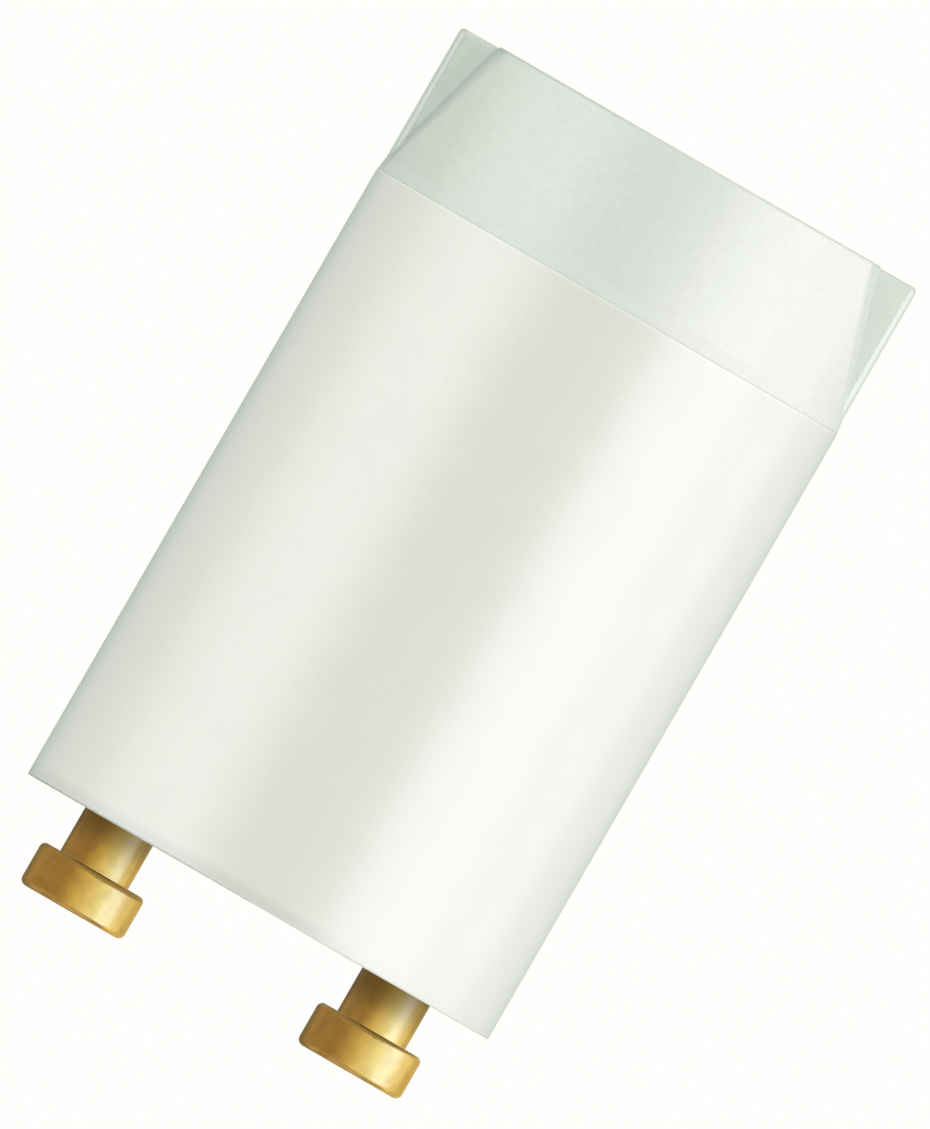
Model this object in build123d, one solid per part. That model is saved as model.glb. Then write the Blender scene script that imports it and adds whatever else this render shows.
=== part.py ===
from build123d import *
import math
import os

# Glow starter for a fluorescent lamp: a moulded can with a winged grip end, a snapped-in
# base plate with two headed contact pins, and inside it a glow bulb and a capacitor.
# It stands on the flat grip end. Z runs along the axis from the grip end to the pins,
# X runs through both pins and both wings, and the origin is the centre of the grip end.
# All sizes are in millimetres.

# The pitch of the pins is standard, and the can's width follows from it
PIN_PITCH = 12.7
PIN_TO_SIDE = 4.2

# Overall form of the can
BODY_LENGTH = 27.76
GRIP_HEIGHT = 6.6
WALL = 1.0
END_WALL = 1.3
RIM_ROUNDING = 0.08
PARTING_LINE_ROUNDING = 0.04

# Winged grip
GRIP_INSET = 0.1
FLARE_HEIGHT = 0.6
FLARE_INSET = 0.02
LOBE_END_INSET = 1.84
LOBE_SEAM_INSET = 0.01
LOBE_DRAFT = 0.07
LOBE_EDGE_ROUNDING = 0.6
LOBE_END_ROUNDING = 0.12
WING_THICKNESS = 3.0
WING_STEP = 0.07
WING_ROUNDING = 0.22

# Contact pins
HEAD_DIAMETER = 4.7
HEAD_HEIGHT = 1.9
HEAD_OUTER_ROUNDING = 0.3
HEAD_INNER_ROUNDING = 0.25
NECK_DIAMETER = 3.1
NECK_REACH = 1.99
SHANK_DIAMETER = 2.4
FLANGE_DIAMETER = 3.8
FLANGE_HEIGHT = 0.45
BORE_DIAMETER = 1.6
HEAD_END_WALL = 1.1

# Base plate and its seat in the can
PLATE_THICKNESS = 1.7
PLATE_RECESS = 0.4
PLATE_CLEARANCE = 0.03
PLATE_LEAD_IN = 0.2
SEAT_WALL = 0.55
PIN_HOLE_CLEARANCE = 0.02
SNAP_BEAD_HEIGHT = 0.18
SNAP_BEAD_LENGTH = 0.3
KEY_WIDTH = 1.2
KEY_DEPTH = 0.5
KEY_CLEARANCE = 0.05

# Glow bulb
BULB_DIAMETER = 8.4
BULB_GLASS = 0.55
BULB_TO_WALL = 1.45
BULB_TIP_TO_END_WALL = 2.15
BULB_SHOULDER_ROUNDING = 2.0
BULB_TIP_LENGTH = 1.4
BULB_TIP_DIAMETER = 1.9
BULB_TIP_END_DIAMETER = 0.8
PINCH_WIDTH = 5.4
PINCH_THICKNESS = 2.0
PINCH_LENGTH = 3.4
PINCH_ROUNDING = 0.6
PINCH_TO_FLANGE = 4.4

# Electrodes inside the bulb
LEAD_SPACING = 2.6
PADDLE_WIDTH = 1.2
PADDLE_THICKNESS = 0.3
PADDLE_LENGTH = 3.0
LEAD_INNER_LENGTH = 1.6
BIMETAL_THICKNESS = 0.2
BIMETAL_WIDTH = 1.8
BIMETAL_LENGTH = 10.0
BIMETAL_FREE_LENGTH = 7.0
CONTACT_GAP = 0.3
ELECTRODE_DIAMETER = 0.8
ELECTRODE_LENGTH = 9.0

# Capacitor
ROLL_LENGTH = 9.6
ROLL_THICKNESS = 4.6
ROLL_HEIGHT = 8.0
ROLL_TO_WALL = 0.85
ROLL_TO_FLANGE = 6.9
END_SPRAY_THICKNESS = 0.5
END_SPRAY_INSET = 0.1
CAPACITOR_LEAD_OVERLAP = 5.5

# Lead wires and their solder
WIRE_DIAMETER = 0.5
WIRE_GAP = 0.14
WIRE_DEPTH_IN_PIN = 3.4
WIRE_STRAIGHT = 1.6
WIRE_LEVEL_RUN = 1.2
WIRE_BEND = 0.8
SOLDER_DEPTH = 3.9
SOLDER_DOME_DIAMETER = 2.7
SOLDER_DOME_HEIGHT = 0.5

# Radii and heights that several pieces share
BODY_RADIUS = PIN_PITCH / 2 + PIN_TO_SIDE
GRIP_RADIUS = BODY_RADIUS - GRIP_INSET
CAVITY_RADIUS = BODY_RADIUS - WALL
SEAT_RADIUS = BODY_RADIUS - SEAT_WALL
FLARE_Z = GRIP_HEIGHT - FLARE_HEIGHT
RIM_Z = GRIP_HEIGHT + BODY_LENGTH
PLATE_OUTER_Z = RIM_Z - PLATE_RECESS
PLATE_INNER_Z = PLATE_OUTER_Z - PLATE_THICKNESS
FLANGE_Z = PLATE_INNER_Z - FLANGE_HEIGHT
HEAD_INNER_Z = RIM_Z + NECK_REACH
HEAD_OUTER_Z = HEAD_INNER_Z + HEAD_HEIGHT
BORE_END_Z = HEAD_OUTER_Z - HEAD_END_WALL
PIN_X = PIN_PITCH / 2

# The slanted sides of the lobes reach almost the full width of the body at the parting line.
LOBE_END_X = BODY_RADIUS - LOBE_END_INSET
LOBE_SEAM_X = BODY_RADIUS - LOBE_SEAM_INSET
LOBE_SLOPE = (LOBE_SEAM_X - LOBE_END_X) / GRIP_HEIGHT

# The bulb hangs from the pins' flanges in the back half of the can and ends above the end wall.
BULB_RADIUS = BULB_DIAMETER / 2
BULB_Y = BULB_RADIUS + BULB_TO_WALL - CAVITY_RADIUS
PINCH_OUTER_Z = FLANGE_Z - PINCH_TO_FLANGE
BULB_SHOULDER_Z = PINCH_OUTER_Z - PINCH_LENGTH
BULB_INNER_Z = BULB_SHOULDER_Z - BULB_GLASS
BULB_TIP_Z = END_WALL + BULB_TIP_TO_END_WALL
BULB_DOME_Z = BULB_TIP_Z + BULB_TIP_LENGTH + BULB_RADIUS
ELECTRODE_TOP_Z = BULB_INNER_Z - LEAD_INNER_LENGTH
LEAD_X = LEAD_SPACING / 2

# The capacitor lies across the front half, with its outer corners clear of the wall.
ROLL_END_X = ROLL_LENGTH / 2
SPRAY_FACE_X = ROLL_END_X + END_SPRAY_THICKNESS
ROLL_Y = math.sqrt((CAVITY_RADIUS - ROLL_TO_WALL) ** 2 - SPRAY_FACE_X**2) - ROLL_THICKNESS / 2
ROLL_TOP_Z = FLANGE_Z - ROLL_TO_FLANGE
ROLL_MID_Z = ROLL_TOP_Z - ROLL_HEIGHT / 2

# The wires of the bulb and the capacitor share each pin's bore, side by side.
WIRE_RADIUS = WIRE_DIAMETER / 2
WIRE_Y = WIRE_RADIUS + WIRE_GAP / 2
WIRE_END_Z = FLANGE_Z + WIRE_DEPTH_IN_PIN
WIRE_BEND_Z = FLANGE_Z - SOLDER_DOME_HEIGHT - WIRE_STRAIGHT
WIRE_LOW_Z = WIRE_BEND_Z - WIRE_LEVEL_RUN

# Sides of the part, as the sign of X, and its front and back, as the sign of Y
LEFT = -1
RIGHT = 1
FRONT = -1
BACK = 1


def round_bar(diameter, low, high, x=0, y=0):
    """A round bar parallel to Z between two heights."""
    bar = Cylinder(diameter / 2, high - low, align=(Align.CENTER, Align.CENTER, Align.MIN))
    return Pos(x, y, low) * bar


def turned(*outline):
    """A solid of revolution about Z from points given as radius and height."""
    points = [(radius, 0, height) for radius, height in outline]
    return revolve(make_face(Polyline(*points, close=True)), Axis.Z)


def side_plane(side, face, inset=0.0):
    """The plane of one slanted lobe side, which is drafted away from the wing's face, less a wall."""
    start_x = LOBE_END_X - inset * math.hypot(1, LOBE_SLOPE)
    up_the_side = Vector(side * LOBE_SLOPE, 0, 1)
    along_the_draft = Vector(-side * LOBE_DRAFT, face, 0)
    outward = up_the_side.cross(along_the_draft) * (-side * face)
    return Plane(origin=(side * start_x, face * WING_THICKNESS / 2, 0), z_dir=outward)


def slanted_block(low, high, inset=0.0):
    """A block as deep as the can, whose sides follow the four lobe sides less a wall."""
    block = Pos(0, 0, low) * Box(
        4 * BODY_RADIUS,
        2 * BODY_RADIUS,
        high - low,
        align=(Align.CENTER, Align.CENTER, Align.MIN),
    )
    for side in (LEFT, RIGHT):
        for face in (FRONT, BACK):
            block = split(block, bisect_by=side_plane(side, face, inset), keep=Keep.BOTTOM)
    return block


def grip_lobe(face):
    """The front or the back lobe, whose sides slant in towards the end face."""
    lobe = Rot(0, 0, face * 90) * round_bar(2 * GRIP_RADIUS, 0, FLARE_Z)
    lobe = split(lobe, bisect_by=Plane(origin=(0, face * WING_THICKNESS / 2, 0), z_dir=(0, face, 0)))
    for side in (LEFT, RIGHT):
        lobe = split(lobe, bisect_by=side_plane(side, face), keep=Keep.BOTTOM)
    lobe = fillet(lobe.edges().filter_by(GeomType.ELLIPSE), LOBE_EDGE_ROUNDING)
    inner_face = lobe.faces().sort_by(Axis.Y)[0 if face == BACK else -1]
    end_edges = lobe.faces().sort_by(Axis.Z)[0].edges() - inner_face.edges()
    return fillet(end_edges, LOBE_END_ROUNDING)


def grip_middle():
    """The slab between the two lobes, which widens with them and carries the wings."""
    top_x = LOBE_END_X + LOBE_SLOPE * FLARE_Z
    corners = ((-LOBE_END_X, 0, 0), (LOBE_END_X, 0, 0), (top_x, 0, FLARE_Z), (-top_x, 0, FLARE_Z))
    slab = extrude(make_face(Polyline(*corners, close=True)), WING_THICKNESS / 2, both=True)
    return slab & round_bar(2 * GRIP_RADIUS, 0, FLARE_Z)


def grip_wings():
    """The two wings in line with the pins, a thin slab across the grip."""
    slab = Pos(0, 0, WING_STEP) * Box(
        4 * BODY_RADIUS,
        WING_THICKNESS,
        FLARE_Z - WING_STEP,
        align=(Align.CENTER, Align.CENTER, Align.MIN),
    )
    # The cylinder's own seam is turned to the back, where the slab cuts it away.
    wings = slab & (Rot(0, 0, 90) * round_bar(2 * GRIP_RADIUS, 0, GRIP_HEIGHT))
    upper_edges = wings.faces().sort_by(Axis.Z)[-1].edges()
    free_edges = wings.edges() - upper_edges
    return fillet(free_edges, WING_ROUNDING)


def can_body():
    """The round body over its short flare, rounded at the rim and at the parting line."""
    body = round_bar(2 * BODY_RADIUS, GRIP_HEIGHT, RIM_Z)
    body = fillet(body.faces().sort_by(Axis.Z)[-1].edges(), RIM_ROUNDING)
    body = fillet(body.faces().sort_by(Axis.Z)[0].edges(), PARTING_LINE_ROUNDING)
    flare = turned(
        (0, FLARE_Z),
        (GRIP_RADIUS, FLARE_Z),
        (BODY_RADIUS - FLARE_INSET, GRIP_HEIGHT),
        (0, GRIP_HEIGHT),
    )
    return body + flare


def snap_bead():
    """The ring just under the rim that the base plate snaps past."""
    return turned(
        (SEAT_RADIUS + SEAT_WALL / 2, PLATE_OUTER_Z),
        (SEAT_RADIUS, PLATE_OUTER_Z),
        (SEAT_RADIUS - SNAP_BEAD_HEIGHT, PLATE_OUTER_Z + SNAP_BEAD_HEIGHT / 2),
        (SEAT_RADIUS, PLATE_OUTER_Z + SNAP_BEAD_LENGTH),
        (SEAT_RADIUS + SEAT_WALL / 2, PLATE_OUTER_Z + SNAP_BEAD_LENGTH),
    )


def key_blocks(clearance=0.0):
    """The two keys at the front and back of the seat that stop the base plate turning."""
    inner = SEAT_RADIUS - KEY_DEPTH - clearance
    outer = SEAT_RADIUS + SEAT_WALL / 2
    blocks = []
    for side in (LEFT, RIGHT):
        middle = side * (inner + outer) / 2
        block = Box(KEY_WIDTH + 2 * clearance, outer - inner, PLATE_THICKNESS)
        blocks.append(Pos(0, middle, (PLATE_INNER_Z + PLATE_OUTER_Z) / 2) * block)
    return blocks


def make_housing():
    """The moulded can, closed at the grip and open at the pins, in one piece."""
    outside = can_body() + grip_lobe(FRONT) + grip_lobe(BACK) + grip_middle() + grip_wings()
    cavity = round_bar(2 * CAVITY_RADIUS, END_WALL, PLATE_INNER_Z)
    cavity &= slanted_block(END_WALL, PLATE_INNER_Z, inset=WALL)
    seat = round_bar(2 * SEAT_RADIUS, PLATE_INNER_Z, RIM_Z)
    housing = outside - cavity - seat + snap_bead()
    for block in key_blocks():
        housing += block
    return housing


def make_base_plate():
    """The insulating plate in the open end, seated on the can's shoulder."""
    plate = round_bar(2 * (SEAT_RADIUS - PLATE_CLEARANCE), PLATE_INNER_Z, PLATE_OUTER_Z)
    inner_edge = plate.faces().sort_by(Axis.Z)[0].edges()
    plate = chamfer(inner_edge, PLATE_LEAD_IN)
    for block in key_blocks(KEY_CLEARANCE):
        plate -= block
    for side in (LEFT, RIGHT):
        hole = SHANK_DIAMETER + 2 * PIN_HOLE_CLEARANCE
        plate -= round_bar(hole, PLATE_INNER_Z, PLATE_OUTER_Z, side * PIN_X)
    return plate


def make_contact_pin(side):
    """A headed hollow rivet: head and neck outside, shank in the plate, flange rolled over inside."""
    x = side * PIN_X
    head = round_bar(HEAD_DIAMETER, HEAD_INNER_Z, HEAD_OUTER_Z, x)
    head = fillet(head.faces().sort_by(Axis.Z)[-1].edges(), HEAD_OUTER_ROUNDING)
    head = fillet(head.faces().sort_by(Axis.Z)[0].edges(), HEAD_INNER_ROUNDING)
    flange = round_bar(FLANGE_DIAMETER, FLANGE_Z, PLATE_INNER_Z, x)
    flange = fillet(flange.faces().sort_by(Axis.Z)[0].edges(), FLANGE_HEIGHT / 2)
    neck = round_bar(NECK_DIAMETER, PLATE_OUTER_Z, HEAD_INNER_Z, x)
    shank = round_bar(SHANK_DIAMETER, PLATE_INNER_Z, PLATE_OUTER_Z, x)
    bore = round_bar(BORE_DIAMETER, FLANGE_Z, BORE_END_Z, x)
    return head + neck + shank + flange - bore


def make_wire(*points):
    """A bent wire whose corners are arcs, through points in order."""
    path = FilletPolyline(*points, radius=WIRE_BEND)
    return sweep(Plane(path @ 0, z_dir=path % 0) * Circle(WIRE_RADIUS), path=path)


def make_bulb_lead(side):
    """A wire from its pin through the glass pinch into the bulb."""
    pin_x = side * PIN_X
    pinch_x = side * LEAD_X
    return make_wire(
        (pin_x, -WIRE_Y, WIRE_END_Z),
        (pin_x, -WIRE_Y, WIRE_BEND_Z),
        (pinch_x, BULB_Y, WIRE_LOW_Z),
        (pinch_x, BULB_Y, ELECTRODE_TOP_Z),
    )


def make_weld_paddle():
    """The flattened inner end of the left lead, to which the bimetal strip is welded."""
    paddle = Box(PADDLE_THICKNESS, PADDLE_WIDTH, PADDLE_LENGTH, align=(Align.CENTER, Align.CENTER, Align.MAX))
    return Pos(-LEAD_X, BULB_Y, ELECTRODE_TOP_Z) * paddle


def make_capacitor_lead(side):
    """A wire from its pin to the metal-sprayed end of the capacitor, half sunk in the spray."""
    pin_x = side * PIN_X
    end_x = side * SPRAY_FACE_X
    return make_wire(
        (pin_x, WIRE_Y, WIRE_END_Z),
        (pin_x, WIRE_Y, WIRE_BEND_Z),
        (end_x, ROLL_Y, WIRE_LOW_Z),
        (end_x, ROLL_Y, ROLL_TOP_Z - CAPACITOR_LEAD_OVERLAP),
    )


def make_solder_joint(side, wires):
    """Solder that fills the pin's bore around both wires and domes over the flange."""
    x = side * PIN_X
    plug = round_bar(BORE_DIAMETER, FLANGE_Z, FLANGE_Z + SOLDER_DEPTH, x)
    dome_radius = (SOLDER_DOME_HEIGHT**2 + (SOLDER_DOME_DIAMETER / 2) ** 2) / (2 * SOLDER_DOME_HEIGHT)
    ball = Pos(x, 0, FLANGE_Z - SOLDER_DOME_HEIGHT + dome_radius) * Sphere(dome_radius)
    dome = ball & round_bar(SOLDER_DOME_DIAMETER, FLANGE_Z - SOLDER_DOME_HEIGHT, FLANGE_Z, x)
    solder = plug + dome
    for wire in wires:
        solder -= wire
    return solder


def make_bulb_envelope(wires):
    """The sealed glass: tube, dome with its exhaust tip, shoulder and flat pinch, in one piece."""
    tube = round_bar(BULB_DIAMETER, BULB_DOME_Z, BULB_SHOULDER_Z, 0, BULB_Y)
    tube = fillet(tube.faces().sort_by(Axis.Z)[-1].edges(), BULB_SHOULDER_ROUNDING)
    dome = Pos(0, BULB_Y, BULB_DOME_Z) * Sphere(BULB_RADIUS)
    tip = Cone(
        BULB_TIP_END_DIAMETER / 2,
        BULB_TIP_DIAMETER / 2,
        BULB_TIP_LENGTH + BULB_GLASS,
        align=(Align.CENTER, Align.CENTER, Align.MIN),
    )
    tip = fillet(tip.faces().sort_by(Axis.Z)[0].edges(), BULB_TIP_END_DIAMETER / 3)
    pinch = Box(
        PINCH_WIDTH,
        PINCH_THICKNESS,
        PINCH_OUTER_Z - BULB_INNER_Z,
        align=(Align.CENTER, Align.CENTER, Align.MIN),
    )
    pinch = fillet(pinch.edges().filter_by(Axis.Z), PINCH_ROUNDING)
    glass = tube + dome + Pos(0, BULB_Y, BULB_TIP_Z) * tip + Pos(0, BULB_Y, BULB_INNER_Z) * pinch
    inner_diameter = BULB_DIAMETER - 2 * BULB_GLASS
    inside = round_bar(inner_diameter, BULB_DOME_Z, BULB_INNER_Z, 0, BULB_Y)
    inside = fillet(inside.faces().sort_by(Axis.Z)[-1].edges(), BULB_SHOULDER_ROUNDING - BULB_GLASS)
    inside += Pos(0, BULB_Y, BULB_DOME_Z) * Sphere(inner_diameter / 2)
    glass -= inside
    for wire in wires:
        glass -= wire
    return glass


def make_bimetal_strip():
    """A U of bimetal, welded by one leg, whose free leg stands a contact gap from the electrode."""
    fixed_x = -LEAD_X - PADDLE_THICKNESS / 2 - BIMETAL_THICKNESS / 2
    free_x = LEAD_X - ELECTRODE_DIAMETER / 2 - CONTACT_GAP - BIMETAL_THICKNESS / 2
    bend_radius = (free_x - fixed_x) / 2
    bend_z = ELECTRODE_TOP_Z - BIMETAL_LENGTH + bend_radius
    welded_top = (fixed_x, BULB_Y, ELECTRODE_TOP_Z)
    bend_start = (fixed_x, BULB_Y, bend_z)
    bend_low = (fixed_x + bend_radius, BULB_Y, bend_z - bend_radius)
    bend_end = (free_x, BULB_Y, bend_z)
    free_top = (free_x, BULB_Y, bend_z + BIMETAL_FREE_LENGTH)
    centre_line = [
        Line(welded_top, bend_start),
        ThreePointArc(bend_start, bend_low, bend_end),
        Line(bend_end, free_top),
    ]
    section = Plane(welded_top, x_dir=(1, 0, 0), z_dir=(0, 0, -1))
    return sweep(section * Rectangle(BIMETAL_THICKNESS, BIMETAL_WIDTH), path=Wire(centre_line))


def make_fixed_electrode():
    """The nickel rod that carries on from the right lead inside the bulb."""
    low_z = ELECTRODE_TOP_Z - ELECTRODE_LENGTH
    return round_bar(ELECTRODE_DIAMETER, low_z, ELECTRODE_TOP_Z, LEAD_X, BULB_Y)


def flat_roll(length, inset=0.0):
    """A flattened film roll lying along X, centred on the capacitor's place."""
    section = SlotOverall(ROLL_HEIGHT - 2 * inset, ROLL_THICKNESS - 2 * inset, rotation=90)
    return Pos(0, ROLL_Y, ROLL_MID_Z) * extrude(Plane.YZ * section, length / 2, both=True)


def make_capacitor_end(side, wire):
    """The metal sprayed on one end of the roll, with the groove in which its lead lies."""
    spray = flat_roll(2 * SPRAY_FACE_X, END_SPRAY_INSET) - flat_roll(ROLL_LENGTH)
    end = spray.solids().sort_by(Axis.X)[0 if side == LEFT else -1]
    return end - wire


def build():
    """All pieces by name."""
    bulb_leads = {side: make_bulb_lead(side) for side in (LEFT, RIGHT)}
    bulb_leads[LEFT] += make_weld_paddle()
    capacitor_leads = {side: make_capacitor_lead(side) for side in (LEFT, RIGHT)}
    pieces = {
        "housing": make_housing(),
        "base_plate": make_base_plate(),
        "bulb_envelope": make_bulb_envelope(bulb_leads.values()),
        "bimetal_strip": make_bimetal_strip(),
        "fixed_electrode": make_fixed_electrode(),
        "capacitor_roll": flat_roll(ROLL_LENGTH),
    }
    for side, word in ((LEFT, "left"), (RIGHT, "right")):
        wires = (bulb_leads[side], capacitor_leads[side])
        pieces["contact_pin_" + word] = make_contact_pin(side)
        pieces["solder_joint_" + word] = make_solder_joint(side, wires)
        pieces["bulb_lead_" + word] = bulb_leads[side]
        pieces["capacitor_lead_" + word] = capacitor_leads[side]
        pieces["capacitor_end_" + word] = make_capacitor_end(side, capacitor_leads[side])
    return pieces


os.makedirs("parts", exist_ok=True)
for name, piece in build().items():
    export_step(piece, f"parts/{name}.step")
    print(name, round(piece.volume, 2), "mm3")
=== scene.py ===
"""Dresses the glow starter: moulded can, brass contact pins, and the bulb and capacitor inside."""

import math

import bmesh
import bpy
from mathutils import Matrix, Vector


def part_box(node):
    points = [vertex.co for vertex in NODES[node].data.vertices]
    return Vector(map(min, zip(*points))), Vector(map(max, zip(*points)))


bl_info = {
    "name": "Glow Starter",
    "version": (1, 0, 0),
    "blender": (4, 5, 0),
    "location": "3D View > Sidebar > Starter",
    "description": "Finishes a fluorescent lamp's glow starter and lights it in a small studio",
    "category": "Object",
}

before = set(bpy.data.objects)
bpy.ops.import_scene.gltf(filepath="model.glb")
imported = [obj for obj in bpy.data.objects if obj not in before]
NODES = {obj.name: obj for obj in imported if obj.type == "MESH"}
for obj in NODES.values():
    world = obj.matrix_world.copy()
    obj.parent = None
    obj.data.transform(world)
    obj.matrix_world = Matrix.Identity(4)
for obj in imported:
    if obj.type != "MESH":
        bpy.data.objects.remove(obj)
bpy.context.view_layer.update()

MM = 0.001
SIDES = ("left", "right")

# Places on the grip end. It ends at the parting line, a wing's flat sides stand WING_SIDE from the middle,
# and the wings' own colour fades in from WING_START. The crease between lobe and wing starts at CREASE_FOOT
# on the end face and moves outwards by CREASE_SLOPE for each metre up.
GRIP_TOP = 6.6 * MM
FLARE_HEIGHT = 0.6 * MM
WING_SIDE = 1.5 * MM
WING_START = 8.3 * MM
WING_FADE = 0.6 * MM
CREASE_FOOT = 8.66 * MM
CREASE_SLOPE = 0.279
# The rounded rim of a wing, by its distance from the middle: it fades in between the first two and
# out between the last two
WING_RIM = (10.08 * MM, 10.2 * MM, 10.36 * MM, 10.44 * MM)

# Places read from the frame
CAN_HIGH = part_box("housing")[1]
CAN_RADIUS = CAN_HIGH.x
RIM = CAN_HIGH.z
PIN_LOW, PIN_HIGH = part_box("contact_pin_right")
PIN_X = (PIN_LOW.x + PIN_HIGH.x) / 2
TOP = PIN_HIGH.z
MIDDLE = Vector((0, 0, TOP / 2))

# How the can's colour is laid out: where the grip's shaded side starts and ends, and how much each layer
# covers
SEAM_BLUR = 0.02 * MM
SHADED_SIDE_START = -0.8 * CAN_RADIUS
SHADED_SIDE_END = 0.95 * CAN_RADIUS
WING_RIM_SHADE = 0.07
WING_RIM_SHADE_EXTRA = 0.18
CREASE_SHADE = 0.38
LOBE_SIDE_SHADE = 0.07
SEAM_SHADOW = 0.16
FLARE_PAINTED_LIGHT = 0.09
RIM_SHADE = 0.05
RIM_SHADE_EXTRA = 0.15
MOTTLE_COVER = 0.025
PITTING = 0.025
FEWER_BODY_PITS = 0.6
SHALLOWER_BODY_GRAIN = 0.7
GRAIN_DEPTH = 0.025 * MM
EDGE_WEAR_HIGHLIGHT_COVER = 0.35
BLACK = (0.0, 0.0, 0.0)
WHITE = (1.0, 1.0, 1.0)

# The painted shade on the pins' necks: where it is full and where it ends above the rim, and how much lower
# it sits on the +X pin, which is painted less shaded
ROOT_SHADE_FULL = 0.3 * MM
ROOT_SHADE_END = 1.9 * MM
LESS_SHADED_PIN_DROP = 0.26 * MM

# The photograph's framing, in its own pixels
PHOTO_WIDTH = 930
PHOTO_HEIGHT = 1129
PHOTO_CENTRE_X = 449.7
PHOTO_CENTRE_Y = 574.2
PHOTO_PIXELS_PER_MM = 25.2


def colour_property(name, description, default):
    """A colour that a user would change."""
    return bpy.props.FloatVectorProperty(
        name=name, description=description, subtype="COLOR", size=3, min=0, max=1, default=default
    )


def share_property(name, description, default, high=1.0):
    """A plain number from 0 up to a limit."""
    return bpy.props.FloatProperty(name=name, description=description, min=0, max=high, default=default)


def length_property(name, description, default):
    """A length in metres."""
    return bpy.props.FloatProperty(
        name=name, description=description, subtype="DISTANCE", unit="LENGTH", min=0, default=default
    )


def angle_property(name, description, degrees):
    """An angle, stated in degrees."""
    return bpy.props.FloatProperty(
        name=name, description=description, subtype="ANGLE", unit="ROTATION", default=math.radians(degrees)
    )


class CanFinish(bpy.types.PropertyGroup):
    """The look of the moulded can."""

    body_colour: colour_property("Body", "Colour of the smooth body", (0.803, 0.813, 0.769))
    grip_colour: colour_property("Grip", "Colour of the duller grip end", (0.824, 0.838, 0.818))
    # The shaded side's colour is painted shade: one side of the grip darker because of how the light falls
    aged_colour: colour_property("Shaded side", "Colour of the grip's greyer side", (0.714, 0.766, 0.713))
    wing_colour: colour_property("Wings", "Colour of the grip's two wings", (0.813, 0.87, 0.818))
    # This colour is painted shade: it darkens the crease, the wing rims, the lobes' side, the line below the
    # seam and the band beside the rim
    dust_colour: colour_property("Shade", "Colour of the dust in creases and on worn edges", (0.3, 0.36, 0.33))
    body_roughness: share_property("Body roughness", "Roughness of the body", 0.3)
    grip_roughness: share_property("Grip roughness", "Roughness of the grip end", 0.37)
    grip_gloss: share_property("Grip gloss", "Share of the body's gloss that the grip end has", 0.6)
    grain_size: length_property("Grain", "Distance between grains of the mould's texture", 0.2 * MM)


class PinFinish(bpy.types.PropertyGroup):
    """The look of the contact pins."""

    colour: colour_property("Brass", "Colour of the brass", (0.66, 0.4, 0.112))
    # This colour is painted shade on the pins' necks beside the can
    root_colour: colour_property("Root", "Colour of the tarnish beside the can", (0.29, 0.177, 0.055))
    roughness: share_property("Roughness", "Roughness of the tumbled surface", 0.32)
    turning_pitch: length_property("Turning marks", "Distance between the fine turning marks", 0.06 * MM)


class InsideFinish(bpy.types.PropertyGroup):
    """The look of the base plate and of what the can holds."""

    plate_colour: colour_property("Base plate", "Colour of the insulating plate", (0.62, 0.6, 0.52))
    glass_colour: colour_property("Glass", "Colour of the bulb's glass", (0.95, 0.98, 0.97))
    bimetal_colour: colour_property("Bimetal", "Colour of the bimetal strip", (0.5, 0.48, 0.45))
    nickel_colour: colour_property("Nickel", "Colour of the fixed electrode", (0.58, 0.57, 0.53))
    wire_colour: colour_property("Wire", "Colour of the tinned leads", (0.62, 0.61, 0.6))
    solder_colour: colour_property("Solder", "Colour of the solder", (0.66, 0.66, 0.67))
    film_colour: colour_property("Film", "Colour of the capacitor's wrap", (0.62, 0.4, 0.1))
    spray_colour: colour_property("Spray", "Colour of the capacitor's sprayed ends", (0.42, 0.42, 0.41))


class StudioSetup(bpy.types.PropertyGroup):
    """The studio around the starter."""

    floor_colour: colour_property("Floor", "Colour of the floor", (0.97, 0.94, 1.0))
    backdrop_colour: colour_property("Backdrop", "Colour of the background", (1.0, 0.991, 0.973))
    ambient_colour: colour_property("Ambient", "Colour of the light from all around", (0.967, 1.0, 0.915))
    ambient_strength: share_property("Ambient strength", "Strength of the light from all around", 0.789, 4.0)
    lamp_colour: colour_property("Lamps", "Colour of the lamps", (0.947, 0.906, 1.0))
    camera_roll: angle_property("Camera roll", "Turn of the camera about its line of sight", 150.0)


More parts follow.
